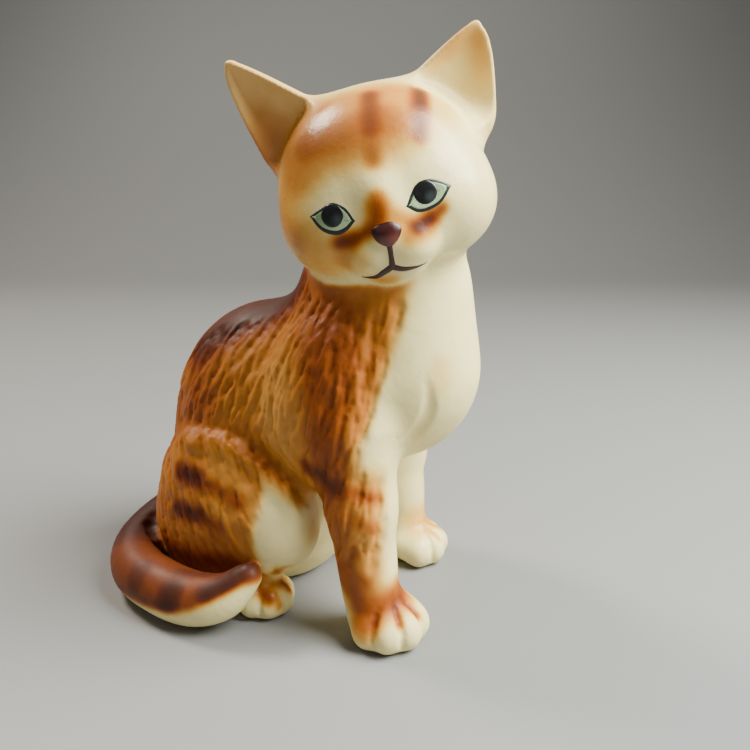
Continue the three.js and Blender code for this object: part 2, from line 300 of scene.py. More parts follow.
# -------- clay on a grid
class Clay:
    """Distance to the surface, and the casting that each point belongs to, on a regular grid."""

    FAR = 30.0  # the distance that empty space starts with
    MARGIN = 4.0  # how far past its own reach a body is worked out

    def __init__(self, low, high, cell):
        self.low, self.cell = np.array(low, float), cell
        count = np.ceil((np.array(high) - self.low) / cell).astype(int) + 1
        self.lines = [self.low[i] + cell * np.arange(count[i]) for i in range(3)]
        self.value = np.full(count, self.FAR, np.float32)
        self.nearest = self.value.copy()
        self.label = np.zeros(count, np.int8)

    def window(self, box, margin):
        window = []
        for i in range(3):
            low = int((box[0][i] - margin - self.low[i]) / self.cell)
            high = int((box[1][i] + margin - self.low[i]) / self.cell) + 2
            window.append(slice(max(low, 0), min(max(high, 1), self.value.shape[i])))
        return tuple(window)

    def coordinates(self, window):
        axes = [line[part].astype(np.float32) for line, part in zip(self.lines, window)]
        return axes[0][:, None, None], axes[1][None, :, None], axes[2][None, None, :]

    def add(self, label, bodies, blend):
        """Builds a casting from its bodies and presses it onto the clay that is there. A body is worked
        out as far round itself as MARGIN and its flow together, and no later flow may be more than that."""
        piece, boxes = np.full_like(self.value, self.FAR), []
        for body, flow in bodies:
            boxes.append(body.box())
            window = self.window(boxes[-1], self.MARGIN + flow)
            piece[window] = smooth_min(piece[window], body.distance(*self.coordinates(window)), flow)
        boxes = np.array(boxes)
        window = self.window((boxes[:, 0].min(0), boxes[:, 1].max(0)), self.MARGIN + blend)
        closer = piece[window] < self.nearest[window]
        self.nearest[window] = np.where(closer, piece[window], self.nearest[window])
        self.label[window] = np.where(closer, label, self.label[window])
        self.value[window] = smooth_min(self.value[window], piece[window], blend)

    def carve(self, body, blend):
        window = self.window(body.box(), 1.2)
        cut = body.distance(*self.coordinates(window))
        self.value[window] = smooth_max(self.value[window], -cut, blend)

    def follow(self, path, lift):
        """Moves points onto the surface, and then off it by lift."""
        path = np.array(path, float)
        spots = self.settle(path.reshape(-1, 3), 6)
        return (spots + np.reshape(lift, (-1, 1)) * self.normal(spots)).reshape(path.shape)

    def cut(self, path, radii, blend):
        for start, end, start_radius, end_radius in zip(path[:-1], path[1:], radii[:-1], radii[1:]):
            self.carve(Taper(start, end, start_radius, end_radius), blend)

    def score(self, path, radii, depth, blend=0.4):
        """Draws a round tool along the surface, which leaves a groove."""
        self.cut(self.follow(path, max(radii) - depth), radii, blend)

    def roll(self, path, radius, height, blend):
        """Lays a roll of clay along the surface, which leaves a ridge."""
        path = self.follow(path, height - radius)
        for start, end in zip(path[:-1], path[1:]):
            body = Taper(start, end, radius, radius)
            window = self.window(body.box(), blend)
            laid = body.distance(*self.coordinates(window))
            self.value[window] = smooth_min(self.value[window], laid, blend)

    def stand(self, edge):
        """Cuts the clay flat at the height of the shelf."""
        self.value = smooth_max(self.value, -self.lines[2].astype(np.float32), edge)

    def sample(self, points):
        """Distance at any points, between the grid's own."""
        place = (points - self.low) / self.cell
        base = np.clip(place.astype(int), 0, np.array(self.value.shape) - 2)
        t = place - base
        total = 0
        for corner in np.ndindex(2, 2, 2):
            weight = np.prod([t[:, i] if corner[i] else 1 - t[:, i] for i in range(3)], axis=0)
            total = total + weight * self.value[tuple((base + corner).T)]
        return total

    def slope(self, points):
        step = self.cell
        return np.column_stack([
            self.sample(points + step * axis) - self.sample(points - step * axis) for axis in np.eye(3)
        ]) / (2 * step)

    def normal(self, points):
        return unit(self.slope(points))

    def settle(self, points, rounds=2):
        """Moves points onto the surface."""
        for _ in range(rounds):
            slope = self.slope(points)
            size = np.maximum((slope ** 2).sum(1), 0.05)
            points = points - (self.sample(points) / size)[:, None] * slope
        return points


CORNERS = np.array(list(np.ndindex(2, 2, 2)))
CELL_EDGES = [
    (a, b) for a in range(8) for b in range(a + 1, 8) if np.abs(CORNERS[a] - CORNERS[b]).sum() == 1
]


def take_surface(clay):
    """Points and four-sided faces between castings and round them. A face has a casting on its back
    and another, or the air, at its front."""
    stuff = np.where(clay.value < 0, clay.label + 1, 0).astype(np.int8)
    shape = np.array(stuff.shape) - 1
    mixed = np.zeros(shape, bool)
    for c in CORNERS[1:]:
        corner = stuff[tuple(slice(c[i], c[i] + shape[i]) for i in range(3))]
        mixed |= corner != stuff[:-1, :-1, :-1]
    cells = np.argwhere(mixed)
    number = np.full(shape, -1, np.int32)
    number[tuple(cells.T)] = np.arange(len(cells))

    values = np.stack([clay.value[tuple((cells + c).T)] for c in CORNERS], 1)
    stuffs = np.stack([stuff[tuple((cells + c).T)] for c in CORNERS], 1)
    open_cell = (stuffs == 0).any(1)
    total, weight = np.zeros((len(cells), 3)), np.zeros(len(cells))
    for a, b in CELL_EDGES:
        outer = (values[:, a] < 0) != (values[:, b] < 0)
        seam = ~open_cell & (stuffs[:, a] != stuffs[:, b])
        t = np.where(outer, values[:, a] / np.where(outer, values[:, a] - values[:, b], 1), 0.5)
        crossing = (outer | seam).astype(float)
        total += crossing[:, None] * (CORNERS[a] + t[:, None] * (CORNERS[b] - CORNERS[a]))
        weight += crossing
    points = clay.low + clay.cell * (cells + total / weight[:, None])

    faces, backs, fronts = [], [], []
    for axis in range(3):
        u, v = (axis + 1) % 3, (axis + 2) % 3
        inner = [slice(1, -1)] * 3
        inner[axis] = slice(0, -1)
        beyond = list(inner)
        beyond[axis] = slice(1, None)
        near, far = stuff[tuple(inner)], stuff[tuple(beyond)]
        place = np.argwhere(near != far)
        a, b = near[tuple(place.T)], far[tuple(place.T)]
        place[:, u] += 1
        place[:, v] += 1
        step_u, step_v = np.eye(3, dtype=int)[[u, v]]
        round_edge = [place - du * step_u - dv * step_v for du, dv in ((1, 1), (0, 1), (0, 0), (1, 0))]
        ring = np.stack([number[tuple(cell.T)] for cell in round_edge], 1)
        faces += [ring[a > 0], ring[b > 0][:, ::-1]]
        backs += [a[a > 0], b[b > 0]]
        fronts += [b[a > 0], a[b > 0]]
    return points, np.vstack(faces), np.concatenate(backs) - 1, np.concatenate(fronts) - 1, open_cell


def face_normals(points, faces):
    p = points[faces]
    return np.cross(p[:, 2] - p[:, 0], p[:, 3] - p[:, 1])


def point_normals(points, faces):
    total = np.zeros_like(points)
    normals = face_normals(points, faces)
    for i in range(3):
        for j in range(4):
            total[:, i] += np.bincount(faces[:, j], normals[:, i], len(points))
    return unit(total)


def ring_mean(values, faces):
    """The mean of the values at each point's neighbours."""
    total, count = np.zeros_like(values), np.zeros(len(values))
    for j in range(4):
        a, b = faces[:, j], faces[:, (j + 1) % 4]
        count += np.bincount(a, minlength=len(values))
        for i in range(values.shape[1]):
            total[:, i] += np.bincount(a, values[b, i], len(values))
    return np.where(count[:, None] > 0, total / np.maximum(count, 1)[:, None], values)


def relax(points, faces, clay, free, rounds=3):
    """Evens out the points along the surface."""
    for _ in range(rounds):
        mean = ring_mean(points, faces)
        moved = clay.settle(points + 0.5 * (mean - points), 1)
        points = np.where(free[:, None], moved, points)
    return points


# -------- hand-painted colours
# Tone runs from 0, bare cream, through sand, orange and brown to 1, the darkest brown.
class Coat:
    """The tone on each point, and how pink and how smoky it is."""

    def __init__(self, count):
        self.tone, self.rosy, self.smoky = np.zeros(count), np.zeros(count), np.zeros(count)

    def shift(self, weight, tone, strength=1):
        """Brings the colour to a tone, from either side."""
        self.tone += strength * weight * (tone - self.tone)

    def deepen(self, weight, tone):
        """Brings what is lighter than a tone down to it."""
        self.tone += weight * np.maximum(tone - self.tone, 0)

    def brush(self, points, strokes, share=1):
        """Deepens along strokes, each of them a path, a radius, how far it fades, and a tone."""
        for path, radius, edge, tone in strokes:
            self.deepen(share * spray(points, path, radius, edge), tone)

    def tint(self, weight, rosy=0, smoky=0):
        self.rosy = np.maximum(self.rosy, weight * rosy)
        self.smoky = np.maximum(self.smoky, weight * smoky)


def spray(points, path, radius, edge=1.1):
    """How much of a stroke along a path lands on each point. Edge is how far it fades, in radii."""
    path = np.array(path, float).reshape(-1, 3)
    nearest = np.full(len(points), 1e9)
    for start, end in zip(path, path[1:] if len(path) > 1 else path):
        along = end - start
        t = np.clip((points - start) @ along / max(along @ along, 1e-9), 0, 1)
        nearest = np.minimum(nearest, ((points - start - t[:, None] * along) ** 2).sum(1))
    return 1 - ease((1 - edge / 2) * radius, (1 + edge / 2) * radius, np.sqrt(nearest))


LEFT_LEG_SHIFT = np.array([7.0, 13.8])  # the left foreleg stands further out and further back


def right_side(points):
    """Body points moved to where the same place is on the cat's right side."""
    x, y, z = points.T
    leg = (x > 0) * ease(-6, -14, y) * ease(62, 46, z)
    return np.column_stack([-np.abs(x) + leg * LEFT_LEG_SHIFT[0], y - leg * LEFT_LEG_SHIFT[1], z])


# Strokes on the body are laid on the right side and repeated on the left.
HAUNCH_CREASE = [
    (-24, 17, 44.5), (-24.5, 5, 46.7), (-23.3, -4, 44.2), (-22.3, -11, 38.8), (-22, -16.5, 33),
]
NECK_STROKES = [
    ([(-18, -24, 84), (-22, -28, 72)], 9.5, 1.4, 0.63),
    ([(-22, -28, 72), (-24, -28.5, 60), (-25, -29, 48)], 5.5, 1.6, 0.68),
    ([(-20, -35, 66), (-22, -34, 57)], 3, 1.6, 0.58),
]
BODY_STROKES = [
    # the spine, the rump and round the haunch
    ([(-6, -10, 84), (-8, 8, 75.5), (-10, 18, 64)], 8, 1.5, 0.92),
    ([(0, -8, 84), (0, 8, 77), (0, 18, 68)], 7, 1.5, 0.9),
    ([(-22, 15, 54), (-12, 28, 45), (-16, 34, 28)], 8, 1.5, 0.64),
    # painted shade along the crease of the haunch
    (HAUNCH_CREASE, 2, 1.6, 0.56),
    ([(-25, 28, 22), (-31, 10, 19), (-31, 3, 19)], 8, 1.5, 0.56),
    # two stripes on the haunch, each darkest behind; under them a band, partly brown paint, partly painted
    # shadow above the tail
    ([(-28.4, 16, 35.7), (-29.6, 9, 35.6)], 2.6, 1.4, 0.84),
    ([(-29.6, 9, 35.6), (-29.8, 2, 34.6), (-29.2, -4.5, 32.5)], 2, 1.5, 0.68),
    ([(-29.6, 17, 25.7), (-31.1, 8, 26.3)], 2.2, 1.4, 0.82),
    ([(-31.1, 8, 26.3), (-31.2, 1, 25)], 1.9, 1.5, 0.68),
    ([(-28, 24, 13), (-32, 10, 12.5), (-31.5, -2, 15)], 3, 1.6, 0.76),
    # bands down the foreleg
    ([(-24, -22, 44), (-24.6, -30, 41.5)], 2.4, 1.6, 0.78),
    ([(-23.6, -23, 43.2), (-24.2, -33, 41), (-20.8, -40, 39.5)], 1.8, 1.7, 0.68),
    ([(-24.2, -29, 35.5), (-24, -37, 34), (-21.6, -40.5, 31.8)], 1.5, 1.7, 0.62),
    ([(-22.6, -31, 29), (-23, -35, 25)], 1.7, 1.7, 0.62),
    ([(-23.4, -33, 22), (-22.6, -37.4, 18)], 1.4, 1.7, 0.66),
    # the foot of the knee
    ([(-25.2, -13, 13), (-25, -17, 14.5)], 2, 1.4, 0.62),
]
FOREPAW_STROKES = [
    ([(-23.5, -32, 20), (-24, -36, 12), (-23.5, -38, 8)], 3.6, 1.6, 0.66),
    ([(-22, -39, 11.5), (-17.5, -42, 12.5), (-12, -41.5, 13)], 3.8, 1.5, 0.68),
]


def paint_body(coat, points):
    p = right_side(points)
    x, y, z = p.T
    bearing = np.degrees(np.arctan2(-x, -(y + 26)))
    chest_edge = np.interp(z, (48, 56, 62, 70, 80, 92), (68, 63, 58, 50, 40, 34))
    flank = ease(chest_edge - 5, chest_edge + 9, bearing)
    belly = ease(-7.5, -11.5, y) * ease(43, 38, z - 0.6 * (y + 8))
    out_and_back = 0.545 * (-x - 15.6) + 0.839 * (y + 35)  # across a foreleg, from its middle
    # The belly, the forelegs' fronts, the foot of the seat and the gap between the forelegs stay cream.
    leg = ease(50, 42, z) * ease(-20, -24, y) * ease(8, 12, -x)
    under = ease(13, 8, z) * ease(26, 22, -x)
    inside = ease(54, 48, z) * ease(13, 9, -x) * ease(0, -6, y)
    coat.shift(flank * (1 - belly) * (1 - leg) * (1 - under) * (1 - inside), 0.5)
    coat.shift(leg * ease(-4.5, 0.5, out_and_back) * ease(12, 17, z), 0.42)
    coat.deepen(leg * ease(2, 8, out_and_back) * ease(12, 17, z), 0.6)

    coat.brush(p, NECK_STROKES)
    coat.deepen(spray(points, [(-9.3, -48.7, 69.4), (-9, -49.3, 65)], 2.5, 1.6), 0.1)
    coat.shift(spray(p, [(-29, 2, 40), (-30, -5, 34), (-30.5, 0, 29)], 5, 1.6), 0.42, 0.7)
    coat.shift(spray(p, [(-23.5, -12, 64), (-23, -13.5, 46)], 7, 1.5), 0.37, 0.85)
    coat.brush(p, BODY_STROKES)
    coat.tint(spray(p, [(-6, -8, 83), (-8, 8, 75.5), (-8, 16, 67)], 8), smoky=0.3)
    share = np.where(points[:, 0] < 0, 1, 0.4)  # the left forepaw has less colour on it
    coat.brush(p, FOREPAW_STROKES, share)
    coat.brush(p, [(path[:2], 0.9, 1.6, 0.78) for path in forepaw_lines(-1)], share)


TAIL_STROKES = [
    # the bands round it, the tip, its top edge and the root
    ([(-43, 19.5, 10), (-41, 19.5, 13)], 2.6, 1.5, 0.9),
    ([(-43.7, 6.6, 8.2), (-42.6, 6.6, 11.6)], 2.8, 1.4, 1),
    ([(-40, -3, 12.6), (-36.5, -7.3, 15), (-32.5, -9.8, 19)], 2.4, 1.3, 1),
    ([(-38, 9, 13), (-35, 0, 14.6), (-32, -6, 17)], 1.6, 1.5, 0.84),
    ([(-27, 37, 15), (-15, 42, 17), (4, 30, 24)], 8, 1.1, 1),
]


def paint_tail(coat, points):
    x, y, z = points.T
    edge = np.interp(y, (-11, -5, 0, 7, 20, 30, 40), (15.5, 11.5, 8.4, 6.2, 4.6, 3.6, 3))
    painted = ease(edge - 1.2, edge + 1.2, z)  # its underside stays cream
    coat.deepen(painted, 0.75)
    coat.brush(points, TAIL_STROKES, painted)
    coat.tint(painted, smoky=0.45)
    coat.tint(painted * spray(points, [(-36, 32, 14), (-42, 24, 12), (-40, 10, 14)], 5, 1.5), smoky=0.65)


HIND_PAW_STROKES = [
    # across the top, and two wedges and a touch between the toes
    ([(-29, -6, 11), (-26, -10.5, 11), (-20, -10, 12)], 3, 1.4, 0.55),
    ([(-28.4, -8, 11), (-27.2, -11.4, 7)], 1.7, 1.4, 0.72),
    ([(-22, -10, 12), (-20.8, -12.4, 7.5)], 1.6, 1.4, 0.8),
    ([(-25.6, -11.5, 8), (-25.4, -13, 4.5)], 1.1, 1.4, 0.5),
]


def paint_hind_paw(coat, points):
    coat.brush(np.column_stack([-np.abs(points[:, 0]), points[:, 1:]]), HIND_PAW_STROKES)


HEAD_FADE = 1.6
HEAD_STROKES = [  # path, radius and tone, in the face's own directions
    # forehead, crown, temple and cheek of the right side; the forehead, temple and cheek wash is partly
    # painted shade
    ([(-12, -13, 10), (-4, -15.5, 10.5), (4, -15, 11)], 6.5, 0.6),
    ([(-14, 2, 15), (-18, -2, 9), (-20.5, 0, 2)], 6, 0.5),
    ([(-13, -8, 14), (-3, -12, 15), (9, -10, 16)], 6, 0.46),
    ([(-14, -9, 13), (-16, -13, 5)], 6, 0.46),
    ([(-20, -8, -2), (-18, -14.6, -7)], 5, 0.48),
    ([(-18, -14.6, -7), (-15, -15.6, -13)], 4.5, 0.26),
    ([(-14.5, -17.5, -9)], 4, 0.32),
    # stripes that run down the forehead
    ([(2, -11, 17), (1.3, -17, 10.5)], 1.8, 0.78),
    ([(0.9, -18.4, 7.5), (0.7, -19.4, 4.8)], 1.9, 0.56),
    ([(12.2, -5.4, 16.6), (11.4, -11, 12.8)], 1.8, 0.86),
    ([(11.2, -12, 12), (10.5, -15.6, 7.2)], 2, 0.66),
    ([(-9, -9, 15), (-9.5, -15, 9)], 1.8, 0.5),
    ([(7, -16, 9), (12, -12.5, 9.5), (15.5, -7, 12)], 4.5, 0.2),
    # bridge of the nose
    ([(0, -22, -2.6)], 1.8, 0.5),
    ([(-0.2, -22, -4.8), (-0.6, -22, -7)], 2.5, 0.7),
    # patches under the right eye and the left one
    ([(-2.4, -22, -8), (-5, -21.3, -8.8), (-8.4, -20.6, -8.9)], 1.4, 0.72),
    ([(-6.6, -21, -9.4), (-9.6, -20, -9.4)], 1.7, 0.78),
    ([(-8, -19.8, -10.6), (-9.6, -19, -12.8)], 2.4, 0.44),
    ([(-9, -19.6, -12), (-13, -18, -12)], 3, 0.2),
    ([(2.6, -22, -6.6), (4.2, -21, -8)], 1.8, 0.45),
    ([(6.4, -20.6, -9.8), (9.4, -19.4, -8.8)], 1.7, 0.9),
    ([(9, -19.4, -8.9), (11.8, -18.3, -7.4)], 1.2, 0.7),
    ([(4.6, -21, -10.6), (8, -19.4, -10.2)], 2.3, 0.44),
    # muzzle and chin
    ([(-6, -20.6, -13.5)], 2.4, 0.2),
    ([(-4, -19.6, -18.9), (-1, -20, -19.3)], 1.6, 0.36),
]
HEAD_SMOKE = [  # path, radius and how smoky
    # the forehead's dulling is partly painted shade
    ([(-14, -11, 8), (-4, -16, 8.5), (5, -16, 9)], 5, 0.25),
    ([(2, -11, 17), (1.3, -17, 10.5), (0.8, -19, 5)], 1.8, 0.5),
    ([(12.2, -5.4, 16.6), (10.5, -15.6, 7.2)], 1.8, 0.55),
    ([(6.2, -20.6, -10), (11.6, -18.3, -7.6)], 1.8, 0.5),
]


def paint_head(coat, points):
    f = (points - HEAD_CENTRE) @ face_axes
    x, y, z = f.T
    coat.deepen(ease(-1, 7, y - 0.5 * np.maximum(x, 0)) * ease(-14, -6, z), 0.47)
    coat.brush(f, [(path, radius, HEAD_FADE, tone) for path, radius, tone in HEAD_STROKES])
    coat.tint(spray(f, [(-10, -8, 14), (-3, -12, 15), (8, -9, 17)], 6, HEAD_FADE), rosy=0.2)
    for path, radius, smoky in HEAD_SMOKE:
        coat.tint(spray(f, path, radius, HEAD_FADE), smoky=smoky)


EAR_STROKES = [  # down its outer edge and from its tip
    ([(25.5, 0, 24), (24.5, 0, 15)], 2.4, 1.6, 0.3),
    ([(22, 0, 25), (15, -2, 17)], 2.2, 1.6, 0.3),
]


def paint_ear(coat, points, tone, root_tone_and_shade, strokes, rosy):
    h = (points - HEAD_CENTRE) @ head_axes
    coat.deepen(1, tone)
    # darker towards the root; on the right ear this is partly painted shade where the ear meets the head
    coat.deepen(1 - ease(8, 22, h[:, 2]), root_tone_and_shade)
    coat.brush(h, strokes)
    coat.deepen(ease(3, 6, h[:, 1]), 0.5)  # the back
    coat.tint(1, rosy=rosy)


# Each casting: its bodies, how softly it flows into the ones before it, and who paints it
CASTINGS = {
    "torso_shell": (trunk(), 1, paint_body),
    "head_shell": (head(), 5, paint_head),
    "right_ear": (ear(-1), 4, partial(paint_ear, tone=0.16, root_tone_and_shade=0.58, strokes=[], rosy=0.5)),
    "left_ear": (ear(1), 4, partial(paint_ear, tone=0.06, root_tone_and_shade=0, strokes=EAR_STROKES, rosy=0.12)),
    "right_foreleg": (foreleg(-1), 4.5, paint_body),
    "left_foreleg": (foreleg(1), 4.5, paint_body),
    "right_hind_paw": (hind_paw(-1), 2, paint_hind_paw),
    "left_hind_paw": (hind_paw(1), 2, paint_hind_paw),
    "tail": (tail(), 1.5, paint_tail),
}


def paint(points, labels):
    """The coat on points of the clay, each painted as a part of its own casting."""
    coat = Coat(len(points))
    for index, (_, _, painter) in enumerate(CASTINGS.values()):
        chosen = labels == index
        if chosen.any():
            part = Coat(chosen.sum())
            painter(part, points[chosen])
            coat.tone[chosen], coat.rosy[chosen], coat.smoky[chosen] = part.tone, part.rosy, part.smoky
    return coat


# -------- modelled fur, creases and toes
SHOULDER_CREASE = [
    (-12.4, -47, 67), (-11.2, -47.2, 61.6), (-10.6, -46.4, 57.6), (-11, -43.6, 52.6), (-13, -40.6, 47),
]
FUR_TONE = 0.3  # the tone from which a spot of the body has modelled fur
FUR_SPOTS = 60000  # spots of the surface that a stroke may be rooted at
FUR_TRIES = 9000  # how many of them are tried
DEEPEST = -0.08  # how far under the surface the middle of the tool may come


def mirrored(path, side):
    return np.array(path, float) * (-side, 1, 1)


def fur_roots(clay, chance, spacing):
    """Spots spread evenly over the painted body. The head, saddle, tail and feet have none."""
    near = chance.permutation(np.argwhere(np.abs(clay.value) < 0.3 * CELL))[:FUR_SPOTS]
    labels = clay.label[tuple(near.T)]
    spots = clay.low + CELL * near
    coloured = paint(spots, labels).tone > FUR_TONE
    legs = list(CASTINGS).index("right_foreleg"), list(CASTINGS).index("left_foreleg")
    body = (labels == 0) | (np.isin(labels, legs) & (spots[:, 2] > 24))
    clear_of_head = np.linalg.norm(spots - HEAD_CENTRE, axis=1) > 30
    saddle = (np.abs(spots[:, 0]) < 13) & (spots[:, 1] > -16) & (spots[:, 2] > 64)
    spots = spots[coloured & body & clear_of_head & ~saddle & (spots[:, 2] > 8)]
    roots = spots[:1]
    for spot in spots[1:FUR_TRIES]:
        if ((roots - spot) ** 2).sum(1).min() > spacing ** 2:
            roots = np.vstack([roots, spot])
    return roots


def comb(clay, chance, spacing, lengths, widths, depths, blend):
    """Short wavy strokes of a round tool, lying the way that the hair does. A stroke that would
    dive under the surface, across a hollow, is left out."""
    roots = fur_roots(clay, chance, spacing)
    normal = clay.normal(roots)
    x, y, z = roots.T
    haunch = ease(50, 44, z) * ease(-20, -14, y)
    hang = np.column_stack([0 * x, 0.25 - 0.75 * haunch, -np.ones(len(roots))])
    hang += 0.13 * chance.normal(size=hang.shape)
    hang = unit(hang - (hang * normal).sum(1)[:, None] * normal)
    aside = np.cross(normal, hang)
    count = len(roots)
    length, bend = chance.uniform(*lengths, count), chance.uniform(-0.8, 0.8, count)
    width, depth = chance.uniform(*widths, count), chance.uniform(*depths, count)
    strokes = np.stack([
        roots + (t * length)[:, None] * hang + (sway * bend)[:, None] * aside
        for t, sway in ((-0.5, -0.4), (-0.15, 0.5), (0.2, 0.3), (0.5, -0.6))
    ], 1)
    lift = np.repeat(width - depth, 4)
    for path, radius in zip(clay.follow(strokes, lift), width):
        halfway = (path[1:] + path[:-1]) / 2
        if clay.sample(np.vstack([path, halfway])).min() > DEEPEST:
            clay.cut(path, (0.4 * radius, radius, 0.9 * radius, 0.4 * radius), blend)


def carve_waves(clay):
    comb(clay, np.random.default_rng(5), 5, (8, 14), (1.4, 2.0), (0.18, 0.34), 1.2)


def carve_fur(clay):
    comb(clay, np.random.default_rng(11), 2.6, (5, 10), (0.5, 0.8), (0.22, 0.5), 0.35)


def toe_lines(place, half, yaw, shares, heights):
    """The three lines between a paw's toes. Shares of its half size and heights are those of
    each line's points, from the top of the paw down its front."""
    for aside in (-41, 0, 41):
        ray = [round_paw((*place, 0), share * np.array(half), yaw + aside) for share in shares]
        yield [spot + (0, 0, z) for spot, z in zip(ray, heights)]


def forepaw_lines(side):
    place, yaw = forepaw_place(side), FORE_TURN[side]
    return list(toe_lines(place, FOREPAW[side], yaw, (0.42, 0.9, 1.08), (12, 8, 2.5)))


def hind_paw_lines(side):
    place, yaw = (side * HIND_X, HIND_Y), HIND_TURN[side]
    return list(toe_lines(place, HIND_PAW, yaw, (0.5, 0.9, 1.08), (10, 7, 2.5)))


def carve_toes(clay):
    for side in SIDES.values():
        for path in forepaw_lines(side) + hind_paw_lines(side):
            clay.score(smooth_path(path, 3), (0.3, 0.6, 0.8, 0.9, 0.9, 0.8, 0.7), 0.5, 0.6)


def carve_creases(clay):
    for side in SIDES.values():
        crease = smooth_path(mirrored(HAUNCH_CREASE, side), 3)
        crease = crease[clay.sample(crease) > -2]  # it runs out where other clay covers it
        clay.roll(crease + (0, 0.5, -2.2), 2.2, 0.7, 3)
        radii = 1.6 * np.sin(np.linspace(0.3, math.pi - 0.3, len(crease)))
        clay.score(crease + (0, -0.4, 0.9), radii, 0.5, 1.2)
    crease = smooth_path(SHOULDER_CREASE, 3)
    clay.score(crease, 1.5 * np.sin(np.linspace(0.2, 2.6, len(crease))), 0.28, 1.5)


# -------- build the surface
CLAY_BOX = (-47, -62, -2), (35, 50, 146)
VENT = Taper((0, 10, -4), (0, 10, 12), 3, 3)
PAINT_ROUNDS = 3  # how often the paint is evened out between neighbouring points
GROOVE = 0.35  # the depth from which a groove of the fur counts in full

clay = Clay(*CLAY_BOX, CELL)
for index, (bodies, blend, _) in enumerate(CASTINGS.values()):
    clay.add(index, bodies, blend)
clay.stand(1.0)
clay.carve(VENT, 0.6)
carve_creases(clay)
carve_waves(clay)
uncut = clay.value.copy()
carve_fur(clay)
carve_toes(clay)

points, faces, backs, fronts, on_surface = take_surface(clay)
outer = fronts < 0
points[on_surface] = clay.settle(points[on_surface])
points = relax(points, faces[outer], clay, on_surface)
points[:, 2] = np.maximum(points[:, 2], 0)
normals = point_normals(points, faces[outer])

labels = np.zeros(len(points), int)
for corner in range(4):
    labels[faces[:, corner]] = backs
coat = paint(points, labels)
for layer in (coat.tone, coat.rosy, coat.smoky):
    for _ in range(PAINT_ROUNDS):
        layer[on_surface] = ring_mean(layer[:, None], faces[outer])[on_surface, 0]
# Painted shade in the grooves of the fur, which lie under the uncut surface: the tone deepens a little in a
# groove and lightens a little outside one.
cut, clay.value = clay.value, uncut
groove = np.clip(-clay.sample(points) / GROOVE, 0, 1)
clay.value = cut
coat.tone += ease(0.15, 0.4, coat.tone) * (0.07 - 0.05 * coat.tone) * (groove - 0.3)

SLOTS = {entry["node"]: entry["material_slot"] for entry in frame["record"]["subparts"]}


def new_object(name, data):
    made = bpy.data.objects.new(name, data)
    bpy.context.collection.objects.link(made)
    return made


def casting_object(name, index):
    """One casting as a closed piece, smooth outside and flat on its seams."""
    chosen = backs == index
    used, local = np.unique(faces[chosen], return_inverse=True)
    local = local.reshape(-1, 4)
    mesh = bpy.data.meshes.new(name)
    mesh.vertices.add(len(used))
    mesh.vertices.foreach_set("co", row(points[used]).ravel())
    mesh.loops.add(local.size)
    mesh.loops.foreach_set("vertex_index", local.ravel())
    mesh.polygons.add(len(local))
    mesh.polygons.foreach_set("loop_start", np.arange(0, local.size, 4))
    mesh.update()
    mesh.shade_smooth()
    loop_normals = normals[faces[chosen]]
    walls = ~outer[chosen]
    loop_normals[walls] = unit(face_normals(points, faces[chosen][walls]))[:, None, :]
    mesh.normals_split_custom_set(loop_normals.reshape(-1, 3))
    for layer in ("tone", "rosy", "smoky"):
        mesh.attributes.new(layer, "FLOAT", "POINT").data.foreach_set("value", getattr(coat, layer)[used])
    piece = new_object(name + "_clay", mesh)
    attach(piece, "root")
    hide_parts(name)
    return piece


# -------- glazes
def srgb(*channels):
    """A colour seen as 0 to 255 on a screen, as the shader counts it."""
    c = np.array(channels) / 255
    return (*np.where(c <= 0.04045, c / 12.92, ((c + 0.055) / 1.055) ** 2.4).tolist(), 1)


class Nodes:
    """Adds nodes to a new material. An input is a number, a colour or another node's output."""

    def __init__(self, name):
        self.material = bpy.data.materials.new(name)
        self.material.use_nodes = True
        self.tree = self.material.node_tree
        self.shader = self.tree.nodes["Principled BSDF"]
        self.place = self.add("ShaderNodeTexCoord").outputs["Object"]

    def put(self, node, key, value):
        if isinstance(value, bpy.types.NodeSocket):
            self.tree.links.new(value, node.inputs[key])
        else:
            node.inputs[key].default_value = value

    def add(self, kind, inputs=None, **settings):
        node = self.tree.nodes.new(kind)
        for name, value in settings.items():
            setattr(node, name, value)
        for key, value in (inputs or {}).items():
            self.put(node, key, value)
        return node

    def layer(self, name):
        return self.add("ShaderNodeAttribute", attribute_name=name).outputs["Fac"]

    def math(self, operation, a, b):
        return self.add("ShaderNodeMath", {0: a, 1: b}, operation=operation).outputs[0]

    def noise(self, scale, detail=3, roughness=0.5):
        inputs = {"Vector": self.place, "Scale": scale, "Detail": detail, "Roughness": roughness}
        return self.add("ShaderNodeTexNoise", inputs).outputs["Fac"]

    def ramp(self, value, stops):
        node = self.add("ShaderNodeValToRGB", {"Fac": value})
        elements = node.color_ramp.elements
        for position, _ in stops[1:-1]:
            elements.new(position)
        for element, (position, colour) in zip(elements, stops):
            element.position, element.color = position, colour
        return node.outputs["Color"]

    def mix(self, amount, a, b, blend="MIX"):
        node = self.add("ShaderNodeMix", data_type="RGBA", blend_type=blend)
        for key, value in ((0, amount), (6, a), (7, b)):
            self.put(node, key, value)
        return node.outputs[2]

    def spread(self, value, low, high):
        inputs = {"Value": value, "From Min": 0.3, "From Max": 0.7, "To Min": low, "To Max": high}
        return self.add("ShaderNodeMapRange", inputs).outputs["Result"]

    def bump(self, height, distance, below=None):
        node = self.add("ShaderNodeBump", {"Height": height, "Distance": distance})
        if below is not None:
            self.put(node, "Normal", below)
        return node.outputs["Normal"]


TONES = [
    (0, srgb(243, 227, 162)), (0.15, srgb(236, 200, 116)), (0.32, srgb(214, 154, 66)),
    (0.5, srgb(186, 114, 36)), (0.66, srgb(146, 70, 8)), (0.82, srgb(88, 32, 4)), (1, srgb(38, 6, 2)),
]


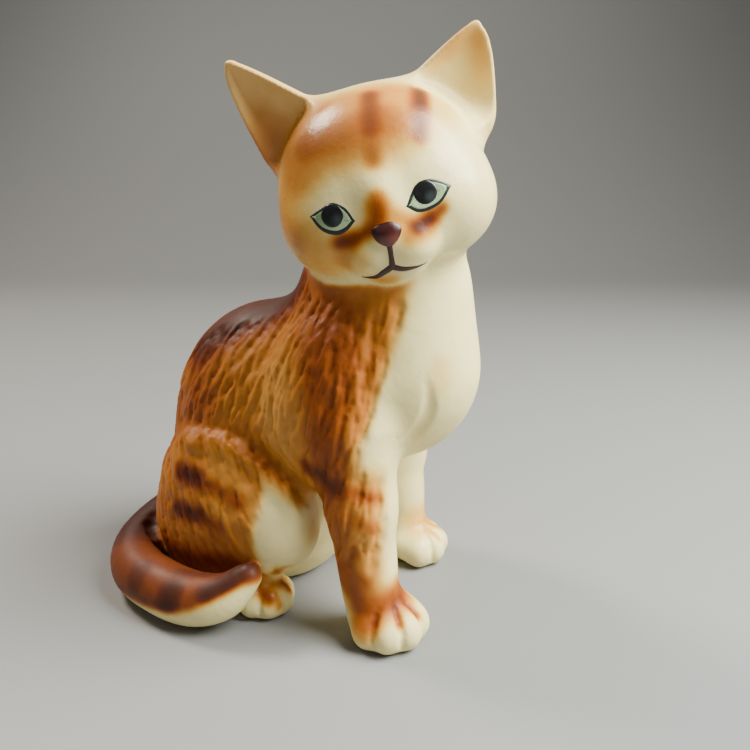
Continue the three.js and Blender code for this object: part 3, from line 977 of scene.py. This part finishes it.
def bisque(name, streak, roughness):
    """Satin fired clay with sprayed-on colour. Streak is how much the colour wanders."""
    n = Nodes(name)
    wander = n.spread(n.noise(420, 4, 0.6), -streak, streak)
    soft = n.spread(n.noise(90, 2), -streak, streak)
    tone = n.layer("tone")
    painted = n.math("MINIMUM", n.math("MULTIPLY", tone, 4), 1)
    shifted = n.math("ADD", tone, n.math("MULTIPLY", n.math("ADD", wander, soft), painted))
    colour = n.ramp(shifted, TONES)
    colour = n.mix(n.math("MULTIPLY", n.layer("rosy"), 0.5), colour, srgb(236, 170, 120))
    colour = n.mix(n.math("MULTIPLY", n.layer("smoky"), 0.7), colour, srgb(90, 50, 34))
    clouds = n.ramp(n.noise(160, 3), [(0.3, srgb(236, 234, 230)), (0.7, srgb(255, 255, 252))])
    colour = n.mix(0.6, colour, clouds, "MULTIPLY")
    n.put(n.shader, "Base Color", colour)
    sheen = n.spread(n.noise(240, 3), roughness - 0.05, roughness + 0.06)
    n.put(n.shader, "Roughness", n.math("ADD", sheen, n.math("MULTIPLY", tone, 0.06)))
    n.shader.inputs["Specular IOR Level"].default_value = 0.25
    grain = n.bump(n.noise(2600, 2), 0.00002)
    n.put(n.shader, "Normal", n.bump(n.noise(380, 3), 0.00010, grain))
    return n.material


def enamel(name, dark, light, roughness):
    """Glossy brushed-on colour between two shades, with faint brush marks. On a pupil the lighter one is a
    painted reflection.
    """
    n = Nodes(name)
    marks = n.spread(n.noise(900, 3, 0.6), -0.08, 0.08)
    n.put(n.shader, "Base Color", n.mix(n.math("ADD", n.layer("shade"), marks), dark, light))
    n.put(n.shader, "Roughness", n.spread(n.noise(700, 2), roughness - 0.03, roughness + 0.05))
    n.put(n.shader, "Normal", n.bump(n.noise(1100, 2), 0.00003))
    n.shader.inputs["Coat Weight"].default_value = 0.1
    n.shader.inputs["Coat Roughness"].default_value = 0.3
    return n.material


GLAZES = {
    "ginger_bisque": bisque("ginger_bisque", 0.02, 0.48),
    "cream_bisque": bisque("cream_bisque", 0.014, 0.27),
    "peach_bisque": bisque("peach_bisque", 0.014, 0.4),
}
for index, name in enumerate(CASTINGS):
    piece = casting_object(name, index)
    piece.data.materials.append(GLAZES[SLOTS[name]])


# -------- enamelled eyes, nose and mouth
# Places are x and z of the face, as seen from its front, in millimetres.
EYES = {
    "right": {
        "outer": (-14.5, -2.9), "upper": [(-11.7, -1.9), (-9.1, -1.3), (-6.6, -2.9)],
        "inner": (-5.2, -5.8), "lower": [(-7.4, -7.4), (-9.9, -7.7), (-12.7, -6.1)],
        "pupil": (-9.6, -3.8),
    },
    "left": {
        "outer": (14.5, -3.6), "upper": [(12.7, -2.3), (10.2, -1.3), (7.5, -1.9)],
        "inner": (4.9, -5.5), "lower": [(7.0, -7.1), (9.5, -7.2), (12.1, -6.2)],
        "pupil": (9.2, -3.7),
    },
}
PUPIL_RADIUS = 2.35
NOSE = [(-2.6, -8.3), (-0.6, -7.4), (1.7, -7.4), (3.4, -8.9), (2.5, -10.9), (0.4, -12.1), (-1.8, -10.7)]
PHILTRUM = [(0.4, -11.6, 0.62), (0.15, -14, 0.52), (-0.2, -16.4, 0.72)]
MOUTH = {
    "right": [(-0.1, -16.1, 0.65), (-2.1, -16.9, 0.6), (-4.2, -17.6, 0.42), (-7.2, -17.2, 0.04)],
    "left": [(-0.3, -16.1, 0.65), (1.8, -17.1, 0.55), (4.4, -17.4, 0.28), (6.6, -17.1, 0.03)],
}


def on_front(x, z, lift):
    """Points on the front of the face at x and z, off the surface by lift."""
    along = np.full(x.shape, -30.0)
    for _ in range(40):
        place = HEAD_CENTRE + np.stack([x, along, z], -1).reshape(-1, 3) @ face_axes.T
        along += 0.7 * clay.sample(place).reshape(x.shape)
    return place + lift.reshape(-1, 1) * clay.normal(place)


def raised_piece(name, rings, lifts, shade, material):
    """A thin closed solid on the face, from rings of x and z that run over its top and back below."""
    rings, lifts = np.array(rings, float), np.array(lifts, float)
    count, around = lifts.shape
    middles = rings[[0, -1]].mean(1)
    x = np.append(rings[..., 0], middles[:, 0])
    z = np.append(rings[..., 1], middles[:, 1])
    lift = np.append(lifts, lifts[[0, -1]].mean(1))
    corners = on_front(x, z, lift)
    quads = []
    for ring in range(count - 1):
        for k in range(around):
            a, b = ring * around + k, ring * around + (k + 1) % around
            quads.append((a, b, b + around, a + around))
    last = (count - 1) * around
    for k in range(around):
        quads.append((count * around, (k + 1) % around, k))
        quads.append((count * around + 1, last + k, last + (k + 1) % around))
    mesh = bpy.data.meshes.new(name)
    mesh.from_pydata(row(corners).tolist(), [], quads)
    volume = sum(
        np.dot(corners[q[0]], np.cross(corners[q[i]], corners[q[i + 1]]))
        for q in quads for i in range(1, len(q) - 1)
    )
    if volume < 0:
        mesh.flip_normals()
    mesh.shade_smooth()
    shades = np.clip(shade(x, z), 0, 1)
    mesh.attributes.new("shade", "FLOAT", "POINT").data.foreach_set("value", shades)
    mesh.materials.append(material)
    piece = new_object(name, mesh)
    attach(piece, "root")


PATCH_TOP = [(0.15, 1), (0.4, 1), (0.65, 1), (0.85, 1), (0.95, 0.85), (1, 0)]  # share of outline, of rise
PATCH_BACK = (0.95, 0.5, 0.15)  # shares of the outline
SKIRT, SUNK = -0.05, -0.35  # how high a patch's edge and its back are on the clay


def patch(name, outline, rise, shade, material, dome=0):
    """A patch of enamel inside an outline."""
    centre = outline.mean(0)
    lifts = [SKIRT + (rise - SKIRT) * up + dome * (1 - share ** 2) for share, up in PATCH_TOP]
    lifts += [SUNK] * len(PATCH_BACK)
    shares = [share for share, _ in PATCH_TOP] + list(PATCH_BACK)
    rings = [centre + share * (outline - centre) for share in shares]
    raised_piece(name, rings, np.repeat(lifts, len(outline)).reshape(len(lifts), -1), shade, material)


def brush_line(name, path, rise, material):
    """A tapering line of enamel. Path has x, z and half the width."""
    path = smooth_path(path, 8)
    along = unit(np.gradient(path[:, :2], axis=0))
    aside = np.column_stack([-along[:, 1], along[:, 0]])
    section = [(-1, -0.05), (-0.7, 0.8), (0, 1), (0.7, 0.8), (1, -0.05), (0, -2)]
    rings = [
        [place[:2] + offset * place[2] * normal for offset, _ in section]
        for place, normal in zip(path, aside)
    ]
    lifts = [[rise * up for _, up in section]] * len(path)
    raised_piece(name, rings, lifts, lambda x, z: 0 * x, material)


def inset(outline, amount):
    """An outline moved inwards by an amount, or by one for each of its points."""
    along = unit(np.roll(outline, -1, 0) - np.roll(outline, 1, 0))
    inward = np.column_stack([-along[:, 1], along[:, 0]])
    turn_sign = np.sign(((outline.mean(0) - outline) * inward).sum())
    return outline + turn_sign * np.reshape(amount, (-1, 1)) * inward


def eye(side, materials):
    form = EYES[side]
    upper = smooth_path([form["outer"], *form["upper"], form["inner"]], 7)
    lower = smooth_path([form["inner"], *form["lower"], form["outer"]], 7)
    outline = np.vstack([upper[:-1], lower[:-1]])
    below = np.concatenate([np.zeros(len(upper) - 1), np.sin(np.linspace(0, math.pi, len(lower) - 1))])
    patch(side + "_eye_outline", outline, 0.08, lambda x, z: 0 * x + 0.2, materials["line"])
    iris = inset(outline, 0.52 + (0.35 if side == "right" else 0.1) * below)
    low, high = iris[:, 1].min(), iris[:, 1].max()
    patch(side + "_iris", iris, 0.14, lambda x, z: (high - z) / (high - low), materials["iris"])
    angles = np.linspace(0, 2 * math.pi, 40, endpoint=False)
    centre = np.array(form["pupil"])
    pupil = centre + PUPIL_RADIUS * np.column_stack([np.cos(angles), np.sin(angles)])
    # A pupil is lighter round a spot a little below its middle: a painted reflection in its gloss.
    reflection_x, reflection_z = centre + (0.8, -1.0)
    patch(side + "_pupil", pupil, 0.22, lambda x, z: 1 - np.hypot(x - reflection_x, z - reflection_z) / 1.5,
          materials["pupil"])


def make_face():
    materials = {
        "line": enamel("eye_line_enamel", srgb(8, 22, 20), srgb(20, 46, 46), 0.42),
        "iris": enamel("iris_enamel", srgb(96, 122, 76), srgb(176, 196, 154), 0.4),
        # the pupil's lighter shade is its painted reflection
        "pupil": enamel("pupil_enamel", srgb(6, 8, 10), srgb(52, 62, 62), 0.34),
        "nose": enamel("nose_enamel", srgb(50, 8, 6), srgb(96, 44, 38), 0.34),
    }
    for side in SIDES:
        eye(side, materials)
    nose = smooth_path(NOSE, 5, closed=True)
    patch("nose_tip", nose, 0.2, lambda x, z: ease(-9, -10.6, z) * ease(2.6, 1.2, np.abs(x - 0.5)),
          materials["nose"], 0.3)
    brush_line("philtrum_line", PHILTRUM, 0.16, materials["nose"])
    for side in SIDES:
        brush_line(side + "_mouth_line", MOUTH[side], 0.14, materials["nose"])


make_face()


# -------- floor, light and camera
VIEW_AZIMUTH, VIEW_PITCH = -57.0, 16.0  # degrees
EYE = np.array([-145.5, -120.0, 111.1])  # in clay millimetres
LENS = 34.56


def plain_material(name, colour, roughness):
    material = bpy.data.materials.new(name)
    material.use_nodes = True
    shader = material.node_tree.nodes["Principled BSDF"]
    shader.inputs["Base Color"].default_value = (*colour, 1)
    shader.inputs["Roughness"].default_value = roughness
    return material


def make_floor():
    """A sheet of paper that curves up into a wall behind the cat."""
    reach, back, height, radius = 1.5, 0.9, 1.2, 0.35
    view = math.radians(-VIEW_AZIMUTH)
    away = np.array([math.sin(view), math.cos(view), 0])
    across = np.array([away[1], -away[0], 0])
    profile = [(-reach, 0), (back - radius, 0)]
    for k in range(1, 13):
        angle = math.radians(90) * k / 12
        profile.append((back - radius + radius * math.sin(angle), radius * (1 - math.cos(angle))))
    profile.append((back, height))
    mesh = bpy.data.meshes.new("floor")
    corners = [away * d + across * s + (0, 0, h) for d, h in profile for s in (-reach, reach)]
    quads = [(2 * i, 2 * i + 1, 2 * i + 3, 2 * i + 2) for i in range(len(profile) - 1)]
    mesh.from_pydata([tuple(c) for c in corners], [], quads)
    mesh.shade_smooth()
    mesh.materials.append(plain_material("floor_paper", (0.215, 0.215, 0.215), 0.6))
    floor = new_object("floor", mesh)


def make_camera():
    camera = bpy.data.cameras.new("camera")
    camera.lens, camera.sensor_width = LENS, 36
    camera.clip_start = 0.01
    holder = new_object("camera", camera)
    holder.location = row(EYE)
    holder.rotation_euler = (math.radians(90 - VIEW_PITCH), 0, math.radians(VIEW_AZIMUTH))
    bpy.context.scene.camera = holder


LIT_POINT = Vector((0, 0, 0.07))  # the middle of the cat


def area_light(name, azimuth, elevation, distance, size, power, colour=(1, 1, 1)):
    light = bpy.data.lights.new(name, "AREA")
    light.shape, light.size, light.energy, light.color = "DISK", size, power, colour
    holder = new_object(name, light)
    a, e = math.radians(azimuth), math.radians(elevation)
    direction = Vector((math.sin(a) * math.cos(e), -math.cos(a) * math.cos(e), math.sin(e)))
    holder.location = LIT_POINT + direction * distance
    holder.rotation_euler = direction.to_track_quat("Z", "Y").to_euler()


def make_light():
    area_light("window", 18, 45, 0.5, 0.36, 12, (0.97, 1, 0.93))
    area_light("sun_side", -176, 50, 0.8, 0.22, 8.4, (1, 0.91, 0.78))
    area_light("fill", -90, 35, 0.9, 0.8, 0.6)
    world = bpy.data.worlds.new("studio")
    world.use_nodes = True
    world.node_tree.nodes["Background"].inputs["Color"].default_value = (1, 0.95, 0.88, 1)
    world.node_tree.nodes["Background"].inputs["Strength"].default_value = 0.13
    bpy.context.scene.world = world


make_floor()
make_camera()
make_light()
